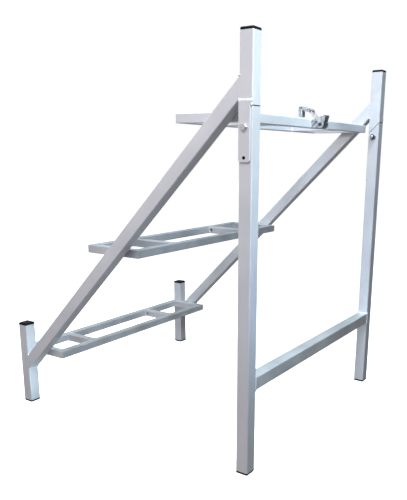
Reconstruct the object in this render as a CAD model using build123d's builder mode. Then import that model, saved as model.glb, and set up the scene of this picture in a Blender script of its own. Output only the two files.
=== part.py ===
"""Folding three-step sawhorse of welded square steel tube.

Millimetres, +Z up, +X to the front where the folding legs stand, -Y to the left.
The origin lies on the floor under the middle of the frame's footprint.
"""
import os

from build123d import *

# Leg, post and diagonal tube
TUBE = 30.0
TUBE_WALL = 1.5
TUBE_CORNER = 2.5

# Shelf tube
SHELF_TUBE = 20.0
SHELF_WALL = 1.2
SHELF_CORNER = 2.0

# Overall frame
FRAME_WIDTH = 700.0
FOOT_REACH = 711.0
TOP_SHELF_HEIGHT = 760.0
POST_ABOVE_SHELF = 140.0
DIAGONAL_ABOVE_SHELF = 40.2
DIAGONAL_AT_FOOT = 119.2
REAR_FOOT_TOP = 222.0

# Plastic end caps
CAP_HEAD = 5.5
CAP_EDGE = 1.6
CAP_PLUG_PLAY = 0.15
CAP_CORE_INSET = 1.6
CAP_RIB = 2.0
CAP_RIB_PITCH = 5.0
CAP_RIB_COUNT = 3

# Folding hinge
PIVOT_BELOW_SHELF = 31.0
PIVOT_SETBACK = 1.0
MITRE_ABOVE_PIVOT = 9.0
MITRE_GAP = 0.8
LEG_PLAY = 0.15
PLATE_WIDTH = 25.0
PLATE_THICK = 4.0
PLATE_ON_POST = 9.0
PLATE_CHAMFER = 3.0
LOCK_HOLE_BELOW_PIVOT = 57.0
LOCK_HOLE_FROM_END = 8.0
LOCK_HOLE_RADIUS = 3.25

# Pivot bolts, washers and lock nuts
BOLT_RADIUS = 4.0
BOLT_CLEARANCE = 0.05
HEX_FLATS = 13.0
BOLT_HEAD = 5.3
HEX_CHAMFER = 0.7
NUT_HEX = 6.0
NUT_COLLAR = 2.0
NUT_COLLAR_RADIUS = 5.6
BOLT_PAST_NUT = 2.0
BOLT_TIP_CHAMFER = 0.8
WASHER_RADIUS = 8.0
WASHER_THICK = 1.6

# Leg frame
CROSSBAR_TOP = 219.0

# Shelves: each is a mitred rectangle with two cross bars
SHELF_FIT_UP = 0.4
TOP_SHELF_DEPTH = 168.0
TOP_SHELF_BEHIND_POST = 9.0
MIDDLE_SHELF_HEIGHT = 460.0
MIDDLE_SHELF_DEPTH = 162.0
MIDDLE_SHELF_SETBACK = 26.0
LOWER_SHELF_HEIGHT = 159.0
LOWER_SHELF_DEPTH = 133.0
CROSS_BAR_Y = 170.0
LOWER_CROSS_BAR_SHIFT = -19.0
CROSS_HOLE_RADIUS = 3.5
CROSS_HOLE_FROM_REAR_BAR = 9.0

# Toggle latch on the front bar of the top shelf, sheet steel and riveted pins.
# OUT is forward of the bar's front face, UP and DOWN are from the bar's top.
LATCH_SHEET = 1.5
LATCH_WIDTH = 26.0
LATCH_Y = -10.0
LATCH_SIDE_GAP = 1.0
LATCH_BACK_MARGIN = 1.0
LEVER_PIN_OUT = 22.0
LEVER_PIN_DOWN = 12.0
LEVER_PIN_RADIUS = 2.5
EAR_RADIUS = 9.0
CHEEK_RADIUS = 7.0
HOOK_PIN_OUT = 9.0
HOOK_PIN_DOWN = 2.0
HOOK_PIN_RADIUS = 1.5
HOOK_CHEEK_RADIUS = 4.0
HANDLE_TIP_OUT = 32.5
HANDLE_TIP_UP = 6.8
HANDLE_TIP_RADIUS = 1.75
HANDLE_START_OUT = 17.0
PIN_HEAD = 1.3
PIN_HEAD_FLARE = 1.5
PIN_PLAY = 0.05
RIVET_RADIUS = 1.6
RIVET_HEAD_RADIUS = 3.0
RIVET_HEAD = 1.2
RIVET_SPACING = 14.0
HOOK_ARM_WIDTH = 5.5
HOOK_EYE_BACK = 7.0
HOOK_EYE_UP = 18.5
HOOK_EYE_RADIUS = 4.5
HOOK_EYE_BORE = 2.5
CLAW_REACH_BACK = 31.0
CLAW_UP = 27.0
CLAW_LIP_UP = 8.0
CLAW_RADIUS = 3.0
CLAW_WIDTH = 30.0

# Places that follow from the sizes above
DEPTH = FOOT_REACH + TUBE
FRONT_X = DEPTH / 2
POST_X = FRONT_X - TUBE / 2
POST_REAR_X = FRONT_X - TUBE
REAR_X = -DEPTH / 2
FOOT_X = REAR_X + TUBE / 2
FOOT_FRONT_X = REAR_X + TUBE
SIDE_Y = (FRAME_WIDTH - TUBE) / 2
LEG_Y = SIDE_Y - LEG_PLAY
POST_TOP = TOP_SHELF_HEIGHT + POST_ABOVE_SHELF
DIAGONAL_AT_POST = TOP_SHELF_HEIGHT + DIAGONAL_ABOVE_SHELF
PIVOT_X = POST_X - PIVOT_SETBACK
PIVOT_HEIGHT = TOP_SHELF_HEIGHT - PIVOT_BELOW_SHELF
MITRE_TIP_Z = PIVOT_HEIGHT + MITRE_ABOVE_PIVOT + TUBE
PLATE_TOP = MITRE_TIP_Z + PLATE_ON_POST
LOCK_HOLE_HEIGHT = PIVOT_HEIGHT - LOCK_HOLE_BELOW_PIVOT
PLATE_BOTTOM = LOCK_HOLE_HEIGHT - LOCK_HOLE_FROM_END
MITRE_NORMAL = (-1, 0, 1)
SHELF_HALF_WIDTH = FRAME_WIDTH / 2 - TUBE - SHELF_FIT_UP
DIAGONAL_RUN = POST_REAR_X - FOOT_FRONT_X
DIAGONAL_DROP = DIAGONAL_AT_POST - DIAGONAL_AT_FOOT
SIDES = (("left", -1), ("right", 1))

os.makedirs("parts", exist_ok=True)


def keep_part(part, label):
    """Label a finished piece and write it to its own file."""
    part.label = label
    export_step(part, f"parts/{label}.step")


def tube_profile(size, wall, corner):
    """Draw the hollow rounded square of a tube in the open sketch."""
    RectangleRounded(size, size, corner)
    RectangleRounded(size - 2 * wall, size - 2 * wall, corner - wall / 2, mode=Mode.SUBTRACT)


def diagonal_x(height):
    """X of the diagonal's centre line at a height."""
    return FOOT_FRONT_X + DIAGONAL_RUN * (height - DIAGONAL_AT_FOOT) / DIAGONAL_DROP


# Upper posts, cut at 45 degrees below so that the leg can only fold backwards
for side_name, side in SIDES:
    with BuildPart() as post:
        with BuildSketch(Plane((POST_X, side * SIDE_Y, MITRE_TIP_Z - TUBE))):
            tube_profile(TUBE, TUBE_WALL, TUBE_CORNER)
        extrude(amount=POST_TOP - MITRE_TIP_Z + TUBE)
        mitre = Plane((FRONT_X, 0, MITRE_TIP_Z), x_dir=(0, 1, 0), z_dir=MITRE_NORMAL)
        split(bisect_by=mitre, keep=Keep.TOP)
    keep_part(post.part, f"{side_name}_post")

# Diagonals from the posts down to the rear feet, their ends cut upright
for side_name, side in SIDES:
    with BuildPart() as diagonal:
        middle = (
            (POST_REAR_X + FOOT_FRONT_X) / 2,
            side * SIDE_Y,
            (DIAGONAL_AT_POST + DIAGONAL_AT_FOOT) / 2,
        )
        slope = Plane(middle, x_dir=(0, 1, 0), z_dir=(DIAGONAL_RUN, 0, DIAGONAL_DROP))
        with BuildSketch(slope):
            tube_profile(TUBE, TUBE_WALL, TUBE_CORNER)
        extrude(amount=DIAGONAL_RUN + DIAGONAL_DROP, both=True)
        split(bisect_by=Plane.YZ.offset(POST_REAR_X), keep=Keep.BOTTOM)
        split(bisect_by=Plane.YZ.offset(FOOT_FRONT_X), keep=Keep.TOP)
    keep_part(diagonal.part, f"{side_name}_diagonal")

# Rear feet, short upright tubes between two caps
for side_name, side in SIDES:
    with BuildPart() as rear_foot:
        with BuildSketch(Plane((FOOT_X, side * SIDE_Y, CAP_HEAD))):
            tube_profile(TUBE, TUBE_WALL, TUBE_CORNER)
        extrude(amount=REAR_FOOT_TOP - CAP_HEAD)
    keep_part(rear_foot.part, f"{side_name}_rear_foot")

# Hinge plates, welded to the posts and reaching down beside the legs
for side_name, side in SIDES:
    with BuildPart() as hinge_plate:
        post_side = Plane((PIVOT_X, side * FRAME_WIDTH / 2, 0), x_dir=(-side, 0, 0), z_dir=(0, side, 0))
        with BuildSketch(post_side):
            with Locations((0, (PLATE_TOP + PLATE_BOTTOM) / 2)):
                outline = Rectangle(PLATE_WIDTH, PLATE_TOP - PLATE_BOTTOM)
            chamfer(outline.vertices().group_by(Axis.Y)[0], PLATE_CHAMFER)
            with Locations((0, PIVOT_HEIGHT)):
                Circle(BOLT_RADIUS + BOLT_CLEARANCE, mode=Mode.SUBTRACT)
            with Locations((0, LOCK_HOLE_HEIGHT)):
                Circle(LOCK_HOLE_RADIUS, mode=Mode.SUBTRACT)
        extrude(amount=PLATE_THICK)
    keep_part(hinge_plate.part, f"{side_name}_hinge_plate")


def mitred_bar(centre, along, outward, length):
    """A shelf tube along one side of a rectangle, cut at 45 degrees at both corners."""
    along = Vector(along)
    outward = Vector(outward)
    with BuildPart() as bar:
        with BuildSketch(Plane(centre, x_dir=(0, 0, 1), z_dir=along)):
            tube_profile(SHELF_TUBE, SHELF_WALL, SHELF_CORNER)
        extrude(amount=length / 2, both=True)
        for end in (-1, 1):
            corner = Vector(centre) + along * (end * length / 2) + outward * (SHELF_TUBE / 2)
            cut = Plane(corner, x_dir=(0, 0, 1), z_dir=along * end - outward)
            split(bisect_by=cut, keep=Keep.BOTTOM)
    return bar.part


def cross_bar(centre, length, hole):
    """A square-cut shelf tube along X, with a small hole in its left side near the rear bar."""
    with BuildPart() as bar:
        with BuildSketch(Plane(centre, x_dir=(0, 1, 0), z_dir=(1, 0, 0))):
            tube_profile(SHELF_TUBE, SHELF_WALL, SHELF_CORNER)
        extrude(amount=length / 2, both=True)
        if hole:
            hole_x = centre[0] - length / 2 + CROSS_HOLE_FROM_REAR_BAR
            left_side = Plane((hole_x, centre[1] - SHELF_TUBE / 2, centre[2]), z_dir=(0, -1, 0))
            with Locations(left_side):
                Hole(CROSS_HOLE_RADIUS, depth=SHELF_TUBE / 2)
    return bar.part


# Shelves: front and rear bars, end bars against the diagonals, and two cross bars.
# Each row gives the shelf's name, its front face, its depth, its height, how far its
# cross bars are shifted and whether the right one is drilled.
TOP_SHELF_FRONT_X = POST_REAR_X - TOP_SHELF_BEHIND_POST
MIDDLE_SHELF_CENTRE_X = diagonal_x(MIDDLE_SHELF_HEIGHT - SHELF_TUBE / 2) - MIDDLE_SHELF_SETBACK
MIDDLE_SHELF_FRONT_X = MIDDLE_SHELF_CENTRE_X + MIDDLE_SHELF_DEPTH / 2
LOWER_SHELF_FRONT_X = REAR_X + LOWER_SHELF_DEPTH
RIVET_PLACES = (LATCH_Y - RIVET_SPACING / 2, LATCH_Y + RIVET_SPACING / 2)
RIVET_Z = TOP_SHELF_HEIGHT - LEVER_PIN_DOWN
SHELVES = (
    ("top", TOP_SHELF_FRONT_X, TOP_SHELF_DEPTH, TOP_SHELF_HEIGHT, 0, False),
    ("middle", MIDDLE_SHELF_FRONT_X, MIDDLE_SHELF_DEPTH, MIDDLE_SHELF_HEIGHT, 0, True),
    ("lower", LOWER_SHELF_FRONT_X, LOWER_SHELF_DEPTH, LOWER_SHELF_HEIGHT, LOWER_CROSS_BAR_SHIFT, True),
)
for shelf, shelf_front_x, shelf_depth, shelf_height, cross_shift, drilled in SHELVES:
    bar_z = shelf_height - SHELF_TUBE / 2
    front_x = shelf_front_x - SHELF_TUBE / 2
    rear_x = shelf_front_x - shelf_depth + SHELF_TUBE / 2
    middle_x = (front_x + rear_x) / 2
    end_y = SHELF_HALF_WIDTH - SHELF_TUBE / 2

    front_bar = mitred_bar((front_x, 0, bar_z), (0, 1, 0), (1, 0, 0), 2 * SHELF_HALF_WIDTH)
    if shelf == "top":
        with BuildPart() as drilled_bar:
            add(front_bar)
            for rivet_y in RIVET_PLACES:
                with Locations(Plane((shelf_front_x, rivet_y, RIVET_Z), z_dir=(1, 0, 0))):
                    Hole(RIVET_RADIUS + PIN_PLAY, depth=SHELF_TUBE / 2)
        front_bar = drilled_bar.part
    keep_part(front_bar, f"{shelf}_shelf_front_bar")

    rear_bar = mitred_bar((rear_x, 0, bar_z), (0, 1, 0), (-1, 0, 0), 2 * SHELF_HALF_WIDTH)
    keep_part(rear_bar, f"{shelf}_shelf_rear_bar")

    for side_name, side in SIDES:
        end_bar = mitred_bar((middle_x, side * end_y, bar_z), (1, 0, 0), (0, side, 0), shelf_depth)
        keep_part(end_bar, f"{shelf}_shelf_{side_name}_end_bar")
        centre = (middle_x, side * CROSS_BAR_Y + cross_shift, bar_z)
        inner_bar = cross_bar(centre, shelf_depth - 2 * SHELF_TUBE, drilled and side > 0)
        keep_part(inner_bar, f"{shelf}_shelf_{side_name}_cross_bar")

# Folding legs, cut to match the posts and drilled for the pivot bolt and a lock pin
for side_name, side in SIDES:
    with BuildPart() as leg:
        with BuildSketch(Plane((POST_X, side * LEG_Y, CAP_HEAD))):
            tube_profile(TUBE, TUBE_WALL, TUBE_CORNER)
        extrude(amount=MITRE_TIP_Z - CAP_HEAD)
        mitre = Plane((FRONT_X, 0, MITRE_TIP_Z), x_dir=(0, 1, 0), z_dir=MITRE_NORMAL)
        split(bisect_by=mitre.offset(-MITRE_GAP), keep=Keep.BOTTOM)
        leg_side_y = side * (LEG_Y + TUBE / 2)
        with Locations(Plane((PIVOT_X, leg_side_y, PIVOT_HEIGHT), z_dir=(0, side, 0))):
            Hole(BOLT_RADIUS + BOLT_CLEARANCE)
        with Locations(Plane((PIVOT_X, leg_side_y, LOCK_HOLE_HEIGHT), z_dir=(0, side, 0))):
            Hole(LOCK_HOLE_RADIUS, depth=TUBE / 2)
    keep_part(leg.part, f"{side_name}_leg")

# Crossbar between the legs
with BuildPart() as leg_crossbar:
    with BuildSketch(Plane((POST_X, 0, CROSSBAR_TOP - TUBE / 2), x_dir=(1, 0, 0), z_dir=(0, 1, 0))):
        tube_profile(TUBE, TUBE_WALL, TUBE_CORNER)
    extrude(amount=LEG_Y - TUBE / 2, both=True)
keep_part(leg_crossbar.part, "leg_crossbar")


def plug_outline(size, corner):
    """Draw a square with cut corners in the open sketch."""
    square = Rectangle(size, size)
    chamfer(square.vertices(), corner)


def end_cap(tube_end, outward):
    """A plastic insert cap: a head with softened edges, and a ribbed plug inside the tube."""
    bore = TUBE - 2 * TUBE_WALL
    bore_corner = TUBE_CORNER - TUBE_WALL / 2
    with BuildPart() as cap:
        seat = Plane(tube_end, x_dir=(1, 0, 0), z_dir=(0, 0, outward))
        with BuildSketch(seat):
            RectangleRounded(TUBE, TUBE, TUBE_CORNER)
        extrude(amount=CAP_HEAD)
        crown = cap.faces().sort_by(Axis.Z)[-1 if outward > 0 else 0]
        chamfer(crown.edges(), min(CAP_EDGE, CAP_HEAD / 2))
        with BuildSketch(seat):
            plug_outline(bore - 2 * CAP_CORE_INSET, bore_corner)
        extrude(amount=-CAP_RIB - CAP_RIB_COUNT * CAP_RIB_PITCH)
        for number in range(CAP_RIB_COUNT):
            with BuildSketch(seat.offset(-CAP_RIB - number * CAP_RIB_PITCH)):
                plug_outline(bore - 2 * CAP_PLUG_PLAY, bore_corner)
            extrude(amount=-CAP_RIB)
    return cap.part


# End caps on the posts, on both ends of the rear feet, and under the legs
for side_name, side in SIDES:
    keep_part(end_cap((POST_X, side * SIDE_Y, POST_TOP), 1), f"{side_name}_post_cap")
    keep_part(end_cap((FOOT_X, side * SIDE_Y, REAR_FOOT_TOP), 1), f"{side_name}_rear_foot_top_cap")
    keep_part(end_cap((FOOT_X, side * SIDE_Y, CAP_HEAD), -1), f"{side_name}_rear_foot_cap")
    keep_part(end_cap((POST_X, side * LEG_Y, CAP_HEAD), -1), f"{side_name}_leg_cap")


# Pivot bolts, put in from outside, each with a washer and a lock nut inside the leg
HEX_CORNER_RADIUS = HEX_FLATS / 3 ** 0.5
for side_name, side in SIDES:
    inward = (0, -side, 0)
    plate_face_y = side * (FRAME_WIDTH / 2 + PLATE_THICK)
    washer_y = side * (LEG_Y - TUBE / 2 - LEG_PLAY)
    nut_y = washer_y - side * WASHER_THICK
    nut_height = NUT_HEX + NUT_COLLAR
    shank = abs(plate_face_y - nut_y) + nut_height + BOLT_PAST_NUT
    head_plane = Plane((PIVOT_X, plate_face_y, PIVOT_HEIGHT), x_dir=(1, 0, 0), z_dir=(0, side, 0))
    shank_plane = Plane((PIVOT_X, plate_face_y, PIVOT_HEIGHT), x_dir=(1, 0, 0), z_dir=inward)
    washer_plane = Plane((PIVOT_X, washer_y, PIVOT_HEIGHT), x_dir=(1, 0, 0), z_dir=inward)
    nut_plane = Plane((PIVOT_X, nut_y, PIVOT_HEIGHT), x_dir=(1, 0, 0), z_dir=inward)

    with BuildPart() as pivot_bolt:
        with BuildSketch(head_plane):
            RegularPolygon(HEX_CORNER_RADIUS, 6)
        extrude(amount=BOLT_HEAD)
        head_top = pivot_bolt.faces().sort_by(Axis.Y)[-1 if side > 0 else 0]
        chamfer(head_top.edges(), HEX_CHAMFER)
        with BuildSketch(shank_plane):
            Circle(BOLT_RADIUS)
        extrude(amount=shank)
        tip = pivot_bolt.faces().sort_by(Axis.Y)[0 if side > 0 else -1]
        chamfer(tip.edges(), BOLT_TIP_CHAMFER)
    keep_part(pivot_bolt.part, f"{side_name}_pivot_bolt")

    with BuildPart() as pivot_washer:
        with BuildSketch(washer_plane):
            Circle(WASHER_RADIUS)
            Circle(BOLT_RADIUS + BOLT_CLEARANCE, mode=Mode.SUBTRACT)
        extrude(amount=WASHER_THICK)
    keep_part(pivot_washer.part, f"{side_name}_pivot_washer")

    with BuildPart() as lock_nut:
        with BuildSketch(nut_plane):
            RegularPolygon(HEX_CORNER_RADIUS, 6)
        extrude(amount=NUT_HEX)
        nut_top = lock_nut.faces().sort_by(Axis.Y)[0 if side > 0 else -1]
        chamfer(nut_top.edges(), HEX_CHAMFER)
        with BuildSketch(nut_plane.offset(NUT_HEX)):
            Circle(NUT_COLLAR_RADIUS)
        extrude(amount=NUT_COLLAR)
        with BuildSketch(nut_plane):
            Circle(BOLT_RADIUS + BOLT_CLEARANCE)
        extrude(amount=nut_height, mode=Mode.SUBTRACT)
    keep_part(lock_nut.part, f"{side_name}_lock_nut")

# Toggle latch: base, lever and hook are bent sheet steel in layers from the outside in.
# Its pieces are drawn in profile on a plane through its middle, from the bar's top front edge.
LATCH_PLANE = Plane((TOP_SHELF_FRONT_X, LATCH_Y, TOP_SHELF_HEIGHT), x_dir=(1, 0, 0), z_dir=(0, -1, 0))
EAR_OUTER = LATCH_WIDTH / 2
EAR_INNER = EAR_OUTER - LATCH_SHEET
CHEEK_OUTER = EAR_INNER - LATCH_SIDE_GAP
CHEEK_INNER = CHEEK_OUTER - LATCH_SHEET
ARM_OUTER = CHEEK_INNER - LATCH_SIDE_GAP
ARM_INNER = ARM_OUTER - LATCH_SHEET
LEVER_PIN_AT = (LEVER_PIN_OUT, -LEVER_PIN_DOWN)
HOOK_PIN_AT = (HOOK_PIN_OUT, -HOOK_PIN_DOWN)
HANDLE_TIP_AT = (HANDLE_TIP_OUT, HANDLE_TIP_UP)
HOOK_EYE_AT = (-HOOK_EYE_BACK, HOOK_EYE_UP)
CLAW_AT = (-CLAW_REACH_BACK, CLAW_UP)
CLAW_LIP_AT = (-CLAW_REACH_BACK, CLAW_LIP_UP)
LATCH_REACH = HANDLE_TIP_OUT + CLAW_REACH_BACK + CLAW_UP + LEVER_PIN_DOWN


def between(start, end):
    """The point halfway between two places on the latch."""
    return ((start[0] + end[0]) / 2, (start[1] + end[1]) / 2)


def under_line(start, end, out):
    """Height of the underside of a sheet whose top runs straight between two places."""
    return start[1] + (end[1] - start[1]) * (out - start[0]) / (end[0] - start[0]) - LATCH_SHEET


# Latch base: a back plate riveted to the bar, with a rounded ear on each side
with BuildPart() as latch_base:
    with BuildSketch(LATCH_PLANE):
        with Locations((LATCH_SHEET / 2, -SHELF_TUBE / 2)):
            Rectangle(LATCH_SHEET, SHELF_TUBE - 2 * LATCH_BACK_MARGIN)
        with Locations(LEVER_PIN_AT):
            Circle(EAR_RADIUS)
        make_hull()
        with Locations(LEVER_PIN_AT):
            Circle(LEVER_PIN_RADIUS + PIN_PLAY, mode=Mode.SUBTRACT)
    extrude(amount=EAR_OUTER, both=True)
    with BuildSketch(LATCH_PLANE):
        with Locations((LATCH_SHEET, 0)):
            Rectangle(LATCH_REACH, LATCH_REACH, align=(Align.MIN, Align.CENTER))
    extrude(amount=EAR_INNER, both=True, mode=Mode.SUBTRACT)
    for rivet_y in RIVET_PLACES:
        with Locations(Plane((TOP_SHELF_FRONT_X + LATCH_SHEET, rivet_y, RIVET_Z), z_dir=(1, 0, 0))):
            Hole(RIVET_RADIUS + PIN_PLAY, depth=2 * LATCH_SHEET)
keep_part(latch_base.part, "latch_base")

# Latch lever: two cheeks on the lever pin, joined by the handle plate along their top edge
with BuildPart() as latch_lever:
    with BuildSketch(LATCH_PLANE):
        with Locations(LEVER_PIN_AT):
            Circle(CHEEK_RADIUS)
        with Locations(HOOK_PIN_AT):
            Circle(HOOK_CHEEK_RADIUS)
        with Locations(HANDLE_TIP_AT):
            Circle(HANDLE_TIP_RADIUS)
        make_hull()
        with Locations(LEVER_PIN_AT):
            Circle(LEVER_PIN_RADIUS + PIN_PLAY, mode=Mode.SUBTRACT)
        with Locations(HOOK_PIN_AT):
            Circle(HOOK_PIN_RADIUS + PIN_PLAY, mode=Mode.SUBTRACT)
    extrude(amount=CHEEK_OUTER, both=True)
    handle_rear = (HOOK_PIN_OUT, HOOK_CHEEK_RADIUS - HOOK_PIN_DOWN)
    handle_front = (HANDLE_TIP_OUT, HANDLE_TIP_UP + HANDLE_TIP_RADIUS)
    with BuildSketch(LATCH_PLANE):
        with BuildLine():
            Polyline(
                (-LATCH_REACH, -LATCH_REACH),
                (-LATCH_REACH, LATCH_REACH),
                (HANDLE_START_OUT, LATCH_REACH),
                (HANDLE_START_OUT, under_line(handle_rear, handle_front, HANDLE_START_OUT)),
                (HANDLE_TIP_OUT, under_line(handle_rear, handle_front, HANDLE_TIP_OUT)),
                (HANDLE_TIP_OUT, -LATCH_REACH),
                close=True,
            )
        make_face()
    extrude(amount=CHEEK_INNER, both=True, mode=Mode.SUBTRACT)
keep_part(latch_lever.part, "latch_lever")

# Latch hook: two arms on the hook pin, a rolled eye, and a wide claw that bends down behind the bar
claw_front = (-HOOK_EYE_BACK, HOOK_EYE_UP + HOOK_EYE_RADIUS)
claw_rear = (-CLAW_REACH_BACK, CLAW_UP + CLAW_RADIUS)
lip_inside = LATCH_SHEET - CLAW_REACH_BACK - CLAW_RADIUS


def claw_profile():
    """Draw the claw in the open sketch, filled from its eye to its lip."""
    with Locations(HOOK_EYE_AT):
        Circle(HOOK_EYE_RADIUS)
    with Locations(CLAW_AT):
        Circle(CLAW_RADIUS)
    make_hull()
    SlotCenterPoint(between(CLAW_AT, CLAW_LIP_AT), CLAW_AT, 2 * CLAW_RADIUS)


def claw_inside(mode):
    """Fill what lies in front of the claw's sheet in the open sketch."""
    Polygon(
        (LATCH_REACH, -LATCH_REACH),
        (LATCH_REACH, LATCH_REACH),
        (-HOOK_EYE_BACK, LATCH_REACH),
        (-HOOK_EYE_BACK, under_line(claw_front, claw_rear, -HOOK_EYE_BACK)),
        (lip_inside, under_line(claw_front, claw_rear, lip_inside)),
        (lip_inside, -LATCH_REACH),
        align=None,
        mode=mode,
    )


with BuildPart() as claw_sheet:
    with BuildSketch(LATCH_PLANE):
        claw_profile()
        claw_inside(Mode.SUBTRACT)
    extrude(amount=CLAW_WIDTH / 2, both=True)
    with BuildSketch(Plane((TOP_SHELF_FRONT_X, LATCH_Y, TOP_SHELF_HEIGHT))):
        Polygon(
            (-HOOK_EYE_BACK, -ARM_OUTER),
            (-HOOK_EYE_BACK, ARM_OUTER),
            (-CLAW_REACH_BACK, CLAW_WIDTH / 2),
            (-LATCH_REACH, CLAW_WIDTH / 2),
            (-LATCH_REACH, -CLAW_WIDTH / 2),
            (-CLAW_REACH_BACK, -CLAW_WIDTH / 2),
            align=None,
        )
    extrude(amount=LATCH_REACH, mode=Mode.INTERSECT)

with BuildPart() as latch_hook:
    with BuildSketch(LATCH_PLANE):
        claw_profile()
        SlotCenterPoint(between(HOOK_PIN_AT, HOOK_EYE_AT), HOOK_EYE_AT, HOOK_ARM_WIDTH)
        with Locations(HOOK_PIN_AT):
            Circle(HOOK_PIN_RADIUS + PIN_PLAY, mode=Mode.SUBTRACT)
    extrude(amount=ARM_OUTER, both=True)
    with BuildSketch(LATCH_PLANE):
        claw_inside(Mode.ADD)
    extrude(amount=ARM_INNER, both=True, mode=Mode.SUBTRACT)
    add(claw_sheet.part)
    with BuildSketch(LATCH_PLANE):
        with Locations(HOOK_EYE_AT):
            Circle(HOOK_EYE_RADIUS)
    extrude(amount=ARM_OUTER, both=True)
    with BuildSketch(LATCH_PLANE):
        with Locations(HOOK_EYE_AT):
            Circle(HOOK_EYE_BORE)
    extrude(amount=ARM_OUTER, both=True, mode=Mode.SUBTRACT)
keep_part(latch_hook.part, "latch_hook")

# Lever pin through the ears of the base, its ends peened over into flat heads
with BuildPart() as latch_lever_pin:
    with BuildSketch(LATCH_PLANE):
        with Locations(LEVER_PIN_AT):
            Circle(LEVER_PIN_RADIUS)
    extrude(amount=EAR_OUTER + PIN_HEAD, both=True)
    for end in (-1, 1):
        with BuildSketch(LATCH_PLANE.offset(end * EAR_OUTER)):
            with Locations(LEVER_PIN_AT):
                Circle(LEVER_PIN_RADIUS + PIN_HEAD_FLARE)
        extrude(amount=end * PIN_HEAD)
keep_part(latch_lever_pin.part, "latch_lever_pin")

# Hook pin, flush with the cheeks of the lever
with BuildPart() as latch_hook_pin:
    with BuildSketch(LATCH_PLANE):
        with Locations(HOOK_PIN_AT):
            Circle(HOOK_PIN_RADIUS)
    extrude(amount=CHEEK_OUTER, both=True)
keep_part(latch_hook_pin.part, "latch_hook_pin")

# Blind rivets that hold the base to the bar
with BuildPart() as latch_rivets:
    for rivet_y in RIVET_PLACES:
        rivet_seat = Plane((TOP_SHELF_FRONT_X + LATCH_SHEET, rivet_y, RIVET_Z), z_dir=(1, 0, 0))
        with BuildSketch(rivet_seat):
            Circle(RIVET_HEAD_RADIUS)
        extrude(amount=RIVET_HEAD)
        with BuildSketch(rivet_seat):
            Circle(RIVET_RADIUS)
        extrude(amount=-LATCH_SHEET - 2 * SHELF_WALL)
keep_part(latch_rivets.part, "latch_rivets")
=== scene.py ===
import math
import random

import bmesh
import bpy
from mathutils import Matrix, Vector


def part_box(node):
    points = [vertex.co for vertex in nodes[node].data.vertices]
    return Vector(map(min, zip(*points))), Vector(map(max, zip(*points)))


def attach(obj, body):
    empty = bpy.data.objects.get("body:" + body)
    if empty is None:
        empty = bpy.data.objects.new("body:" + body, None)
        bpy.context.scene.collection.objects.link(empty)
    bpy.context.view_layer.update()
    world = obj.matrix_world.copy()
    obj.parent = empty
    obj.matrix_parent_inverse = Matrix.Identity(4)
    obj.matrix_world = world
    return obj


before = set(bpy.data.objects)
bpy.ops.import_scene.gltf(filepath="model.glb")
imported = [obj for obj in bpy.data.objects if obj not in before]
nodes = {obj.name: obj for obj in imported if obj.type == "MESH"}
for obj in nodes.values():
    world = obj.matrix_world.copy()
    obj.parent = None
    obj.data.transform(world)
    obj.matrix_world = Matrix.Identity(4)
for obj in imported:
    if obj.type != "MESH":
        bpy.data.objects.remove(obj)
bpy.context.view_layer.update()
scene = bpy.context.scene

# Side frames: two upper posts, two diagonals and two rear feet of square steel tube, welded and then
# sprayed silver-grey. The paint dries with a fine orange peel, a few dust specks and an uneven tone.
# A thin near-black line along the posts' 45-degree cuts is painted shade of the joint's gap, and the
# inside of the tube is bare steel, darkened to near black as painted shade.
SIDES = ("left", "right")
PAINT_GREY = (0.575, 0.575, 0.605, 1)
PAINT_LIGHT = (0.66, 0.66, 0.69, 1)
PAINT_SPECK = (0.36, 0.36, 0.37, 1)
PAINT_METAL = 0.35
PAINT_SMOOTH = 0.36
TONE_CELLS = 9.0
TONE_WINDOW = (0.32, 0.68)
SPECK_CELLS = 420.0
SPECK_WINDOW = (0.72, 0.80)
SPECK_COVER = 0.75
SPECK_BUMP = (0.4, 0.0003)
ROUGH_CELLS = 35.0
ROUGH_WINDOW = (0.3, 0.7)
ROUGH_SPREAD = 0.14
PEEL_CELLS = 700.0
PEEL_BUMP = (0.25, 0.0002)
COAT_WEIGHT = 0.12
COAT_ROUGHNESS = 0.25
# Near black: bare steel inside tubes and holes darkened as painted shade, and the painted shade in a
# cut's gap.
BARE_STEEL_AND_SHADE = (0.030, 0.031, 0.034, 1)
CUT_SHADE_HALF_WIDTH = 0.0006
TUBE_WALL = 0.0015
BORE_MARGIN = 0.0003


def new_material(name):
    """A node material with its shader and the piece's own coordinates."""
    material = bpy.data.materials.new(name)
    material.use_nodes = True
    tree = material.node_tree
    shader = tree.nodes["Principled BSDF"]
    place = tree.nodes.new("ShaderNodeTexCoord").outputs["Object"]
    return material, tree, shader, place


def add_noise(tree, place, cells, detail=2.0):
    """Noise with a given number of cells to the metre, as a factor."""
    noise = tree.nodes.new("ShaderNodeTexNoise")
    noise.inputs["Scale"].default_value = cells
    noise.inputs["Detail"].default_value = detail
    tree.links.new(place, noise.inputs["Vector"])
    return noise.outputs["Fac"]


def add_range(tree, factor, window, low=0.0, high=1.0):
    """A factor stretched from a window of its values to the range from low to high."""
    node = tree.nodes.new("ShaderNodeMapRange")
    ends = zip(("From Min", "From Max", "To Min", "To Max"), (*window, low, high))
    for socket, value in ends:
        node.inputs[socket].default_value = value
    tree.links.new(factor, node.inputs["Value"])
    return node.outputs["Result"]


def add_mix(tree, factor, first, second):
    """A second colour over a first one by a factor, each a socket or a plain colour."""
    node = tree.nodes.new("ShaderNodeMix")
    node.data_type = "RGBA"
    tree.links.new(factor, node.inputs["Factor"])
    for socket, value in ((node.inputs["A"], first), (node.inputs["B"], second)):
        if isinstance(value, tuple):
            socket.default_value = value
        else:
            tree.links.new(value, socket)
    return node.outputs["Result"]


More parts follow.
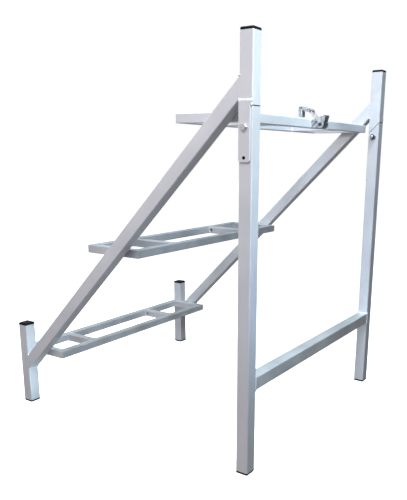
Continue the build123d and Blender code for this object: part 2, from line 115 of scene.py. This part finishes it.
def add_bump(tree, shader, height, bump, under=None):
    """A bump of a given strength and depth on the shader's normal, over an earlier one if given."""
    node = tree.nodes.new("ShaderNodeBump")
    node.inputs["Strength"].default_value, node.inputs["Distance"].default_value = bump
    tree.links.new(height, node.inputs["Height"])
    if under is not None:
        tree.links.new(under, node.inputs["Normal"])
    tree.links.new(node.outputs["Normal"], shader.inputs["Normal"])
    return node.outputs["Normal"]


def add_math(tree, operation, *values):
    """A calculation on sockets or numbers."""
    node = tree.nodes.new("ShaderNodeMath")
    node.operation = operation
    for socket, value in zip(node.inputs, values):
        if isinstance(value, (int, float)):
            socket.default_value = value
        else:
            tree.links.new(value, socket)
    return node.outputs["Value"]


def split_place(tree, place):
    """The three coordinates of a place."""
    split = tree.nodes.new("ShaderNodeSeparateXYZ")
    tree.links.new(place, split.inputs["Vector"])
    return split.outputs


def mask_post_cut_shade_and_bore(tree, place):
    """Where a post is near black: painted shade along its 45-degree cut, and its bare, shaded bore."""
    x, y, z = split_place(tree, place)
    cut = add_math(tree, "SUBTRACT", z, x)
    line = add_math(tree, "COMPARE", cut, post_low.z - post_low.x, CUT_SHADE_HALF_WIDTH * math.sqrt(2))
    inside_x = add_math(tree, "COMPARE", x, post_middle.x, bore_half_width)
    out = add_math(tree, "ABSOLUTE", y)
    inside_y = add_math(tree, "COMPARE", out, abs(post_middle.y), bore_half_width)
    bore = add_math(tree, "MULTIPLY", inside_x, inside_y)
    return add_math(tree, "MAXIMUM", line, bore)


def make_paint(name, base, light, metal=PAINT_METAL, smooth=PAINT_SMOOTH, bare_and_shade=None):
    """Sprayed paint in two close tones, with near-black bare steel and painted shade under a mask."""
    material, tree, shader, place = new_material(name)
    tone = add_range(tree, add_noise(tree, place, TONE_CELLS, detail=3.0), TONE_WINDOW)
    colour = add_mix(tree, tone, base, light)
    specks = add_range(tree, add_noise(tree, place, SPECK_CELLS), SPECK_WINDOW, high=SPECK_COVER)
    colour = add_mix(tree, specks, colour, PAINT_SPECK)
    if bare_and_shade is not None:
        colour = add_mix(tree, bare_and_shade(tree, place), colour, BARE_STEEL_AND_SHADE)
    tree.links.new(colour, shader.inputs["Base Color"])
    clouds = add_noise(tree, place, ROUGH_CELLS, detail=4.0)
    roughness = add_range(tree, clouds, ROUGH_WINDOW, smooth, smooth + ROUGH_SPREAD)
    tree.links.new(roughness, shader.inputs["Roughness"])
    shader.inputs["Metallic"].default_value = metal
    shader.inputs["Coat Weight"].default_value = COAT_WEIGHT
    shader.inputs["Coat Roughness"].default_value = COAT_ROUGHNESS
    peel = add_bump(tree, shader, add_noise(tree, place, PEEL_CELLS), PEEL_BUMP)
    add_bump(tree, shader, specks, SPECK_BUMP, under=peel)
    return material


def both_sides(*pieces):
    """The names of pieces that the left and the right side both have."""
    return [f"{side}_{piece}" for side in SIDES for piece in pieces]


def finish_nodes(names, material):
    """Gives CAD nodes their finish."""
    for name in names:
        mesh = nodes[name].data
        mesh.materials.clear()
        mesh.materials.append(material)


post_low, post_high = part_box("left_post")
post_middle = (post_low + post_high) / 2
bore_half_width = (post_high.x - post_low.x) / 2 - TUBE_WALL + BORE_MARGIN
paint = make_paint("silver_grey_paint", PAINT_GREY, PAINT_LIGHT)
post_paint = make_paint("post_grey_paint", PAINT_GREY, PAINT_LIGHT, bare_and_shade=mask_post_cut_shade_and_bore)
finish_nodes(both_sides("diagonal", "rear_foot"), paint)
finish_nodes(both_sides("post"), post_paint)

# Shelves: three ladder frames of smaller square tube with mitred corners and two cross bars each,
# welded between the side frames. The paint on the middle and lower ones is thinner and patchier,
# and looks more like bare metal. Its tone is painted light and shade: darker on the middle shelf as
# painted shade, lighter on the lower shelf as painted light.
SHELVES = ("top", "middle", "lower")
SHELF_BARS = ("front_bar", "rear_bar", *both_sides("end_bar", "cross_bar"))
# Middle shelf tones set darker as painted shade, lower shelf tones lighter as painted light.
MIDDLE_SHADED_GREY = (0.33, 0.335, 0.36, 1)
MIDDLE_SHADED_PALE = (0.56, 0.565, 0.59, 1)
LOWER_LIT_GREY = (0.47, 0.47, 0.485, 1)
LOWER_LIT_PALE = (0.72, 0.72, 0.735, 1)
THIN_METAL = 0.5
THIN_SMOOTH = 0.30
middle_shaded_paint = make_paint("middle_painted_shade_paint", MIDDLE_SHADED_GREY, MIDDLE_SHADED_PALE, THIN_METAL, THIN_SMOOTH)
lower_lit_and_shaded_paint = make_paint("lower_painted_light_and_shade_paint", LOWER_LIT_GREY, LOWER_LIT_PALE, THIN_METAL, THIN_SMOOTH)
shelf_paints = {"top": paint, "middle": middle_shaded_paint, "lower": lower_lit_and_shaded_paint}
for shelf in SHELVES:
    finish_nodes([f"{shelf}_shelf_{bar}" for bar in SHELF_BARS], shelf_paints[shelf])

# Hinge plates: flat steel bars with clipped lower corners, welded to the outside of the posts and
# painted with them. The lock hole near the lower end is drilled through the paint, and its bare wall
# is darkened to near black as painted shade inside the hole.
LOCK_HOLE_RISE = 0.008
LOCK_HOLE_RADIUS = 0.0035
plate_low, plate_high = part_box("left_hinge_plate")
lock_hole_x = (plate_low.x + plate_high.x) / 2
lock_hole_z = plate_low.z + LOCK_HOLE_RISE


def mask_lock_hole_shade(tree, place):
    """The round of the lock hole, seen from the side, where its shade is painted."""
    x, _, z = split_place(tree, place)
    across = add_math(tree, "SUBTRACT", x, lock_hole_x)
    above = add_math(tree, "SUBTRACT", z, lock_hole_z)
    across_squared = add_math(tree, "MULTIPLY", across, across)
    distance_squared = add_math(tree, "MULTIPLY_ADD", above, above, across_squared)
    return add_math(tree, "LESS_THAN", distance_squared, LOCK_HOLE_RADIUS ** 2)


plate_paint = make_paint("plate_grey_paint", PAINT_GREY, PAINT_LIGHT, bare_and_shade=mask_lock_hole_shade)
finish_nodes(both_sides("hinge_plate"), plate_paint)

# Leg frame: two folding legs of the posts' tube and a crossbar welded between them. The legs' mitred
# tops close against the posts. Like the posts, they get painted shade along the cut and in the bare
# bore, and painted shade in the lock hole of the outer wall. The crossbar has the lower shelf's paint,
# set darker than the frames' as painted shade.


def mask_leg_shade_and_bore(tree, place):
    """Painted shade on a leg's cut, in its bare bore and in the lock hole in its outer wall."""
    _, y, _ = split_place(tree, place)
    outer_wall = add_math(tree, "GREATER_THAN", add_math(tree, "ABSOLUTE", y), abs(post_middle.y))
    hole = add_math(tree, "MULTIPLY", mask_lock_hole_shade(tree, place), outer_wall)
    return add_math(tree, "MAXIMUM", hole, mask_post_cut_shade_and_bore(tree, place))


leg_paint = make_paint("leg_grey_paint", PAINT_GREY, PAINT_LIGHT, bare_and_shade=mask_leg_shade_and_bore)
finish_nodes(both_sides("leg"), leg_paint)
finish_nodes(["leg_crossbar"], lower_lit_and_shaded_paint)

# Welds: beads laid by hand where tube meets tube, small overlapping ripples; on the frames they are
# painted a lighter tone than the tubes. On the flush sides of the posts, diagonals and feet they are
# ground smooth, and the plates are held by a heavy, rough bead along the top and short ones down
# the sides.
WELD_GREY = (0.66, 0.66, 0.69, 1)
WELD_LIGHT = (0.82, 0.82, 0.84, 1)
RIPPLE_SEED = 11
RIPPLE_SEGMENTS = 8
RIPPLE_RINGS = 6
RIPPLE_PITCH = 0.0015
RIPPLE_LENGTH = 0.0019
RIPPLE_UNEVENNESS = 0.06
WANDER = 0.0002
BEAD_HALF_WIDTH = 0.0026
BEAD_HEIGHT = 0.0017
PLATE_TOP_SWELL = 1.8
PLATE_SIDE_SWELL = 1.2
PLATE_UNEVENNESS = 0.16
PLATE_REAR_BEAD = 0.020
PLATE_FRONT_BEAD = 0.008
SHELF_SWELL = 0.6
FLUSH_SWELL = 0.85
FLUSH_UNEVENNESS = 0.01
FLUSH_PITCH = 0.0007
FLUSH_DEPTH = 0.00135
FLUSH_SHIFT = 0.0011
DIAGONAL_SLOPE = math.radians(45)
weld_paint = make_paint("weld_paint", WELD_GREY, WELD_LIGHT)
ripple_chance = random.Random(RIPPLE_SEED)
ripple_form = bmesh.new()
bmesh.ops.create_uvsphere(ripple_form, u_segments=RIPPLE_SEGMENTS, v_segments=RIPPLE_RINGS, radius=1.0)
ripple = bpy.data.meshes.new("ripple")
ripple_form.to_mesh(ripple)
ripple_form.free()


def lay_bead(welds, start, end, crown, swell=1.0, unevenness=RIPPLE_UNEVENNESS, pitch=RIPPLE_PITCH):
    """Lays one straight run of weld ripples, its crown pointing along the given direction."""
    start = Vector(start)
    crown = Vector(crown)
    run = Vector(end) - start
    along = run.normalized()
    up = (crown - along * along.dot(crown)).normalized()
    across = up.cross(along)
    count = max(2, round(run.length / (pitch * swell)))
    for number in range(count + 1):
        size = swell * ripple_chance.uniform(1 - unevenness, 1 + unevenness)
        axes = (along * RIPPLE_LENGTH, across * BEAD_HALF_WIDTH, up * BEAD_HEIGHT)
        form = Matrix([axis * size for axis in axes]).transposed().to_4x4()
        wander = across * ripple_chance.uniform(-WANDER, WANDER) * swell
        form.translation = start + run * (number / count) + wander
        drop = ripple.copy()
        drop.transform(form)
        welds.from_mesh(drop)
        bpy.data.meshes.remove(drop)


def keep_welds(welds, name, material, body):
    """Makes finished welds a piece that rides on a body."""
    mesh = bpy.data.meshes.new(name)
    welds.to_mesh(mesh)
    welds.free()
    mesh.shade_smooth()
    mesh.materials.append(material)
    piece = bpy.data.objects.new(name, mesh)
    scene.collection.objects.link(piece)
    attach(piece, body)


rear_welds = bmesh.new()
flush_welds = bmesh.new()
for side, outer in zip(SIDES, (-1, 1)):
    tube_low, tube_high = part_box(f"{side}_post")
    diagonal_low, diagonal_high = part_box(f"{side}_diagonal")
    foot_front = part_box(f"{side}_rear_foot")[1].x
    cut_height = (tube_high.y - tube_low.y) / math.cos(DIAGONAL_SLOPE)
    for x, low_z, face in (
        (tube_low.x, diagonal_high.z - cut_height, -1),
        (foot_front, diagonal_low.z, 1),
    ):
        high_z = low_z + cut_height
        for z, up in ((low_z, -1), (high_z, 1)):
            lay_bead(rear_welds, (x, tube_low.y, z), (x, tube_high.y, z), (face, 0, up))
        groove_x = x - face * FLUSH_SHIFT
        for y, out in ((tube_low.y + FLUSH_DEPTH, -1), (tube_high.y - FLUSH_DEPTH, 1)):
            ends = [(groove_x, y, z) for z in (low_z, high_z)]
            lay_bead(flush_welds, *ends, (0, out, 0), FLUSH_SWELL, FLUSH_UNEVENNESS, FLUSH_PITCH)
    plate_low, plate_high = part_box(f"{side}_hinge_plate")
    inner_y = plate_low.y if side == "right" else plate_high.y
    for start_x, length_down, end_x, crown, swell in (
        (plate_low.x, 0.0, plate_high.x, (0, outer, 1), PLATE_TOP_SWELL),
        (plate_low.x, PLATE_REAR_BEAD, plate_low.x, (-1, outer, 0), PLATE_SIDE_SWELL),
        (plate_high.x, PLATE_FRONT_BEAD, plate_high.x, (1, outer, 0), PLATE_SIDE_SWELL),
    ):
        start = (start_x, inner_y, plate_high.z - length_down)
        lay_bead(rear_welds, start, (end_x, inner_y, plate_high.z), crown, swell, PLATE_UNEVENNESS)
keep_welds(rear_welds, "rear_frame_welds", weld_paint, "rear_frame")
keep_welds(flush_welds, "rear_frame_flush_welds", paint, "rear_frame")

for shelf in SHELVES:
    shelf_welds = bmesh.new()
    front_bar_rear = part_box(f"{shelf}_shelf_front_bar")[0].x
    rear_bar_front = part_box(f"{shelf}_shelf_rear_bar")[1].x
    for side in SIDES:
        bar_low, bar_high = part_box(f"{shelf}_shelf_{side}_cross_bar")
        for x, face in ((front_bar_rear, -1), (rear_bar_front, 1)):
            ends = [(x, y, bar_high.z) for y in (bar_low.y, bar_high.y)]
            lay_bead(shelf_welds, *ends, (face, 0, 1), SHELF_SWELL)
            for y, out in ((bar_low.y, -1), (bar_high.y, 1)):
                ends = [(x, y, z) for z in (bar_low.z, bar_high.z)]
                lay_bead(shelf_welds, *ends, (face, out, 0), SHELF_SWELL)
    keep_welds(shelf_welds, f"{shelf}_shelf_welds", shelf_paints[shelf], "rear_frame")

leg_welds = bmesh.new()
bar_low, bar_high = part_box("leg_crossbar")
for y, face in ((bar_low.y, 1), (bar_high.y, -1)):
    for x, out in ((bar_low.x, -1), (bar_high.x, 1)):
        lay_bead(leg_welds, (x, y, bar_low.z), (x, y, bar_high.z), (out, face, 0))
    for z, out in ((bar_low.z, -1), (bar_high.z, 1)):
        lay_bead(leg_welds, (bar_low.x, y, z), (bar_high.x, y, z), (0, face, out))
keep_welds(leg_welds, "leg_frame_welds", weld_paint, "leg_frame")
bpy.data.meshes.remove(ripple)

# End caps: black polyethylene plugs, each moulded in one piece and pushed into an open tube end, where
# its ribs hold it. The heads are faintly grained and a little dusty.
CAPS = ("post_cap", "rear_foot_top_cap", "rear_foot_cap", "leg_cap")
CAP_BLACK = (0.0035, 0.0035, 0.0038, 1)
CAP_DUSTY = (0.010, 0.010, 0.0105, 1)
CAP_SPECULAR = 0.10
DUST_CELLS = 160.0
DUST_WINDOW = (0.45, 0.75)
DUST_ROUGHNESS = (0.42, 0.60)
GRAIN_CELLS = 1500.0
GRAIN_BUMP = (0.15, 0.0002)


def make_cap_plastic():
    """Moulded black plastic with a faint grain and a little dust."""
    material, tree, shader, place = new_material("black_cap_plastic")
    dust = add_range(tree, add_noise(tree, place, DUST_CELLS, detail=4.0), DUST_WINDOW)
    tree.links.new(add_mix(tree, dust, CAP_BLACK, CAP_DUSTY), shader.inputs["Base Color"])
    tree.links.new(add_range(tree, dust, (0.0, 1.0), *DUST_ROUGHNESS), shader.inputs["Roughness"])
    shader.inputs["Specular IOR Level"].default_value = CAP_SPECULAR
    add_bump(tree, shader, add_noise(tree, place, GRAIN_CELLS, detail=1.0), GRAIN_BUMP)
    return material


finish_nodes(both_sides(*CAPS), make_cap_plastic())

# Pivot bolts with washers and lock nuts: forged bolts and stamped washers, zinc plated and faintly
# mottled, which hold the legs to the plates. The nuts, inside the leg frame, are steel coloured dark
# as painted shade.
ZINC = (0.74, 0.74, 0.73, 1)
ZINC_DULL = (0.54, 0.54, 0.54, 1)
# Dark nut colours are painted shade; the darkest also colours the latch pins' shaded patches.
NUT_STEEL = (0.16, 0.17, 0.17, 1)
NUT_DARK = (0.035, 0.036, 0.038, 1)
PATCH_WIDTH = 0.25
PLATING_CELLS = 900.0
PLATING_BUMP = (0.2, 0.0002)


def make_metal(name, bright, patch_colour, patch_cells, patch_from, roughness, metal=1.0):
    """Bare or plated steel with patches of a second colour, its roughness between two values, and a
    fine grain.
    """
    material, tree, shader, place = new_material(name)
    clouds = add_noise(tree, place, patch_cells, detail=5.0)
    patches = add_range(tree, clouds, (patch_from, patch_from + PATCH_WIDTH))
    tree.links.new(add_mix(tree, patches, bright, patch_colour), shader.inputs["Base Color"])
    tree.links.new(add_range(tree, patches, (0.0, 1.0), *roughness), shader.inputs["Roughness"])
    shader.inputs["Metallic"].default_value = metal
    add_bump(tree, shader, add_noise(tree, place, PLATING_CELLS, detail=3.0), PLATING_BUMP)
    return material


zinc = make_metal(
    "zinc_plate", ZINC, ZINC_DULL, patch_cells=240.0, patch_from=0.42, roughness=(0.34, 0.50)
)
nut_steel = make_metal(
    "painted_shade_nut_steel", NUT_STEEL, NUT_DARK, patch_cells=200.0, patch_from=0.40, roughness=(0.30, 0.50)
)
finish_nodes(both_sides("pivot_bolt", "pivot_washer"), zinc)
finish_nodes(both_sides("lock_nut"), nut_steel)

# Toggle latch: a base bent from sheet steel and riveted to the top shelf, a lever and a claw hook, all
# zinc plated. Dark blotches on the zinc are painted reflection, fewer on the hook, whose lighter zinc
# is painted light; the pins and rivets are coloured dark as painted shade.
# Latch colours: dark blotches as painted reflection, the hook's lighter zinc as painted light, the
# pins' dark steel as painted shade.
LATCH_ZINC = (0.62, 0.63, 0.66, 1)
LATCH_REFLECTION = (0.13, 0.14, 0.17, 1)
HOOK_LIT_ZINC = (0.74, 0.75, 0.78, 1)
HOOK_REFLECTION = (0.20, 0.21, 0.25, 1)
PIN_STEEL = (0.10, 0.11, 0.14, 1)
LATCH_PATCH_CELLS = 150.0
latch_zinc = make_metal(
    "painted_reflection_zinc", LATCH_ZINC, LATCH_REFLECTION, LATCH_PATCH_CELLS, patch_from=0.46, roughness=(0.30, 0.55)
)
lit_hook_zinc = make_metal(
    "painted_light_zinc", HOOK_LIT_ZINC, HOOK_REFLECTION, LATCH_PATCH_CELLS, patch_from=0.50, roughness=(0.34, 0.55),
    metal=0.88,
)
pin_steel = make_metal(
    "painted_shade_pin_steel", PIN_STEEL, NUT_DARK, LATCH_PATCH_CELLS, patch_from=0.44, roughness=(0.30, 0.50)
)
finish_nodes(["latch_base", "latch_lever"], latch_zinc)
finish_nodes(["latch_hook"], lit_hook_zinc)
finish_nodes(["latch_rivets", "latch_lever_pin", "latch_hook_pin"], pin_steel)

# Studio: a pale floor under a white backdrop dome. Dim walls glow softly on each side, a large softbox
# stands on the left, a skylight hangs over the front, and small softboxes fill the rest.
STAGE_RADIUS = 15.0
STAGE_ROUGHNESS = 0.9
STAGE_GLOW = 1.0
FLOOR_WHITE = (0.9, 0.9, 0.9, 1)
BACKDROP_BLACK = (0, 0, 0, 1)
GLOW_WHITE = (1, 1, 1, 1)


def add_stage(name, form, colour):
    """A glowing matt stage object that the camera sees and that throws no light on the part."""
    material, _, shader, _ = new_material(name)
    shader.inputs["Base Color"].default_value = colour
    shader.inputs["Roughness"].default_value = STAGE_ROUGHNESS
    shader.inputs["Emission Color"].default_value = GLOW_WHITE
    shader.inputs["Emission Strength"].default_value = STAGE_GLOW
    mesh = bpy.data.meshes.new(name)
    form.to_mesh(mesh)
    form.free()
    mesh.materials.append(material)
    piece = bpy.data.objects.new(name, mesh)
    scene.collection.objects.link(piece)
    piece.visible_diffuse = False
    piece.visible_glossy = False
    piece.visible_transmission = False
    return piece


floor_form = bmesh.new()
bmesh.ops.create_circle(floor_form, cap_ends=True, segments=64, radius=STAGE_RADIUS)
add_stage("floor", floor_form, FLOOR_WHITE)
backdrop_form = bmesh.new()
bmesh.ops.create_uvsphere(backdrop_form, u_segments=48, v_segments=24, radius=STAGE_RADIUS)
backdrop = add_stage("backdrop", backdrop_form, BACKDROP_BLACK)
backdrop.visible_shadow = False

WALL_WHITE = (0.97, 0.98, 1.0, 1)
WALL_GLOW = (
    ((0, -1, 0), 0.39),
    ((0, 1, 0), 0.12),
    ((-1, 0, 0), 0.69),
    ((1, 0, 0), 0.08),
    ((0, 0, -1), 0.46),
)
surround = bpy.data.worlds.new("surround")
scene.world = surround
surround.use_nodes = True
sky = surround.node_tree
direction = sky.nodes.new("ShaderNodeTexCoord").outputs["Generated"]
glow = 0.0
for wall, strength in WALL_GLOW:
    facing = sky.nodes.new("ShaderNodeVectorMath")
    facing.operation = "DOT_PRODUCT"
    facing.inputs[1].default_value = wall
    sky.links.new(direction, facing.inputs[0])
    share = add_math(sky, "MAXIMUM", facing.outputs["Value"], 0.0)
    wall_glow = add_math(sky, "MULTIPLY", add_math(sky, "MULTIPLY", share, share), strength)
    glow = add_math(sky, "ADD", wall_glow, glow)
background = sky.nodes["Background"].inputs
background["Color"].default_value = WALL_WHITE
sky.links.new(glow, background["Strength"])


def add_softbox(name, place, target, size, power, colour, spread=180):
    """A square soft light of a size in metres and a power in watts, its beam spread in degrees."""
    light = bpy.data.lights.new(name, "AREA")
    light.shape = "SQUARE"
    light.size = size
    light.energy = power
    light.color = colour
    light.spread = math.radians(spread)
    lamp = bpy.data.objects.new(name, light)
    scene.collection.objects.link(lamp)
    lamp.location = place
    lamp.rotation_mode = "QUATERNION"
    lamp.rotation_quaternion = (Vector(target) - Vector(place)).to_track_quat("-Z", "Y")
    lamp.visible_camera = False


LILAC_WHITE = (0.99, 0.955, 1.0)
PALE_BLUE = (0.82, 0.96, 1.0)
DAYLIGHT = (0.66, 0.88, 1.0)
DEEP_BLUE = (0.45, 0.68, 1.0)
add_softbox("left_softbox", (0.45, -1.4, 1.75), (0.3, -0.3, 0.75), 0.6, 20.5, LILAC_WHITE)
add_softbox("diagonal_softbox", (-0.2, -1.0, 0.9), (0.0, -0.35, 0.45), 0.4, 0.25, LILAC_WHITE, 70)
add_softbox("skylight", (0.7, -0.2, 2.2), (0.2, 0.0, 0.5), 0.4, 46.0, DAYLIGHT)
add_softbox("rear_skylight", (-0.5, 0.0, 2.0), (-0.2, 0.0, 0.3), 0.5, 7.0, PALE_BLUE)
add_softbox("front_softbox", (0.95, -0.3, 1.5), (0.3, 0.0, 0.5), 0.3, 2.0, DAYLIGHT)
add_softbox("post_softbox", (0.92, -0.34, 1.2), (0.36, -0.33, 0.7), 0.25, 1.45, PALE_BLUE, 70)
add_softbox("near_leg_softbox", (1.0, -0.42, 0.6), (0.37, -0.335, 0.4), 0.25, 0.22, DEEP_BLUE, 50)
add_softbox("shelf_softbox", (0.75, -0.25, 1.0), (0.33, 0.05, 0.75), 0.2, 0.25, DAYLIGHT, 50)
add_softbox("far_leg_softbox", (0.365, -0.28, 0.45), (0.355, 0.32, 0.3), 0.2, 0.105, DEEP_BLUE, 60)
add_softbox("far_leg_low_softbox", (0.365, -0.28, 0.2), (0.355, 0.33, 0.12), 0.2, 0.055, DAYLIGHT, 40)
add_softbox("foot_softbox", (0.15, -0.335, 0.05), (-0.34, -0.335, 0.06), 0.08, 0.044, DAYLIGHT, 22)
add_softbox("foot_top_softbox", (-0.12, -0.335, 0.42), (-0.34, -0.335, 0.18), 0.06, 0.036, DAYLIGHT, 40)

# Camera: the photograph's standpoint, in front and to the left, a little lower than the top shelf.
# Its focal length and optical centre are in pixels of the photograph's frame.
IMAGE_WIDTH = 407
IMAGE_HEIGHT = 500
FOCAL_PIXELS = 597.51
CENTRE_PIXEL = (238.74, 302.85)
AZIMUTH = math.radians(32.814)
ELEVATION = math.radians(14.022)
ROLL = math.radians(0.564)
CAMERA_PLACE = (0.98433, -1.34246, 0.67987)
camera_data = bpy.data.cameras.new("camera")
camera = bpy.data.objects.new("camera", camera_data)
scene.collection.objects.link(camera)
back = Vector((
    math.sin(AZIMUTH) * math.cos(ELEVATION),
    -math.cos(AZIMUTH) * math.cos(ELEVATION),
    math.sin(ELEVATION),
))
level = Vector((math.cos(AZIMUTH), math.sin(AZIMUTH), 0))
rise = back.cross(level)
right = level * math.cos(ROLL) + rise * math.sin(ROLL)
upward = rise * math.cos(ROLL) - level * math.sin(ROLL)
turn = Matrix((right, upward, back)).transposed().to_4x4()
camera.matrix_world = Matrix.Translation(CAMERA_PLACE) @ turn
camera_data.lens = camera_data.sensor_width * FOCAL_PIXELS / IMAGE_HEIGHT
camera_data.shift_x = (IMAGE_WIDTH / 2 - CENTRE_PIXEL[0]) / IMAGE_HEIGHT
camera_data.shift_y = (CENTRE_PIXEL[1] - IMAGE_HEIGHT / 2) / IMAGE_HEIGHT
scene.camera = camera
scene.view_settings.view_transform = "Standard"
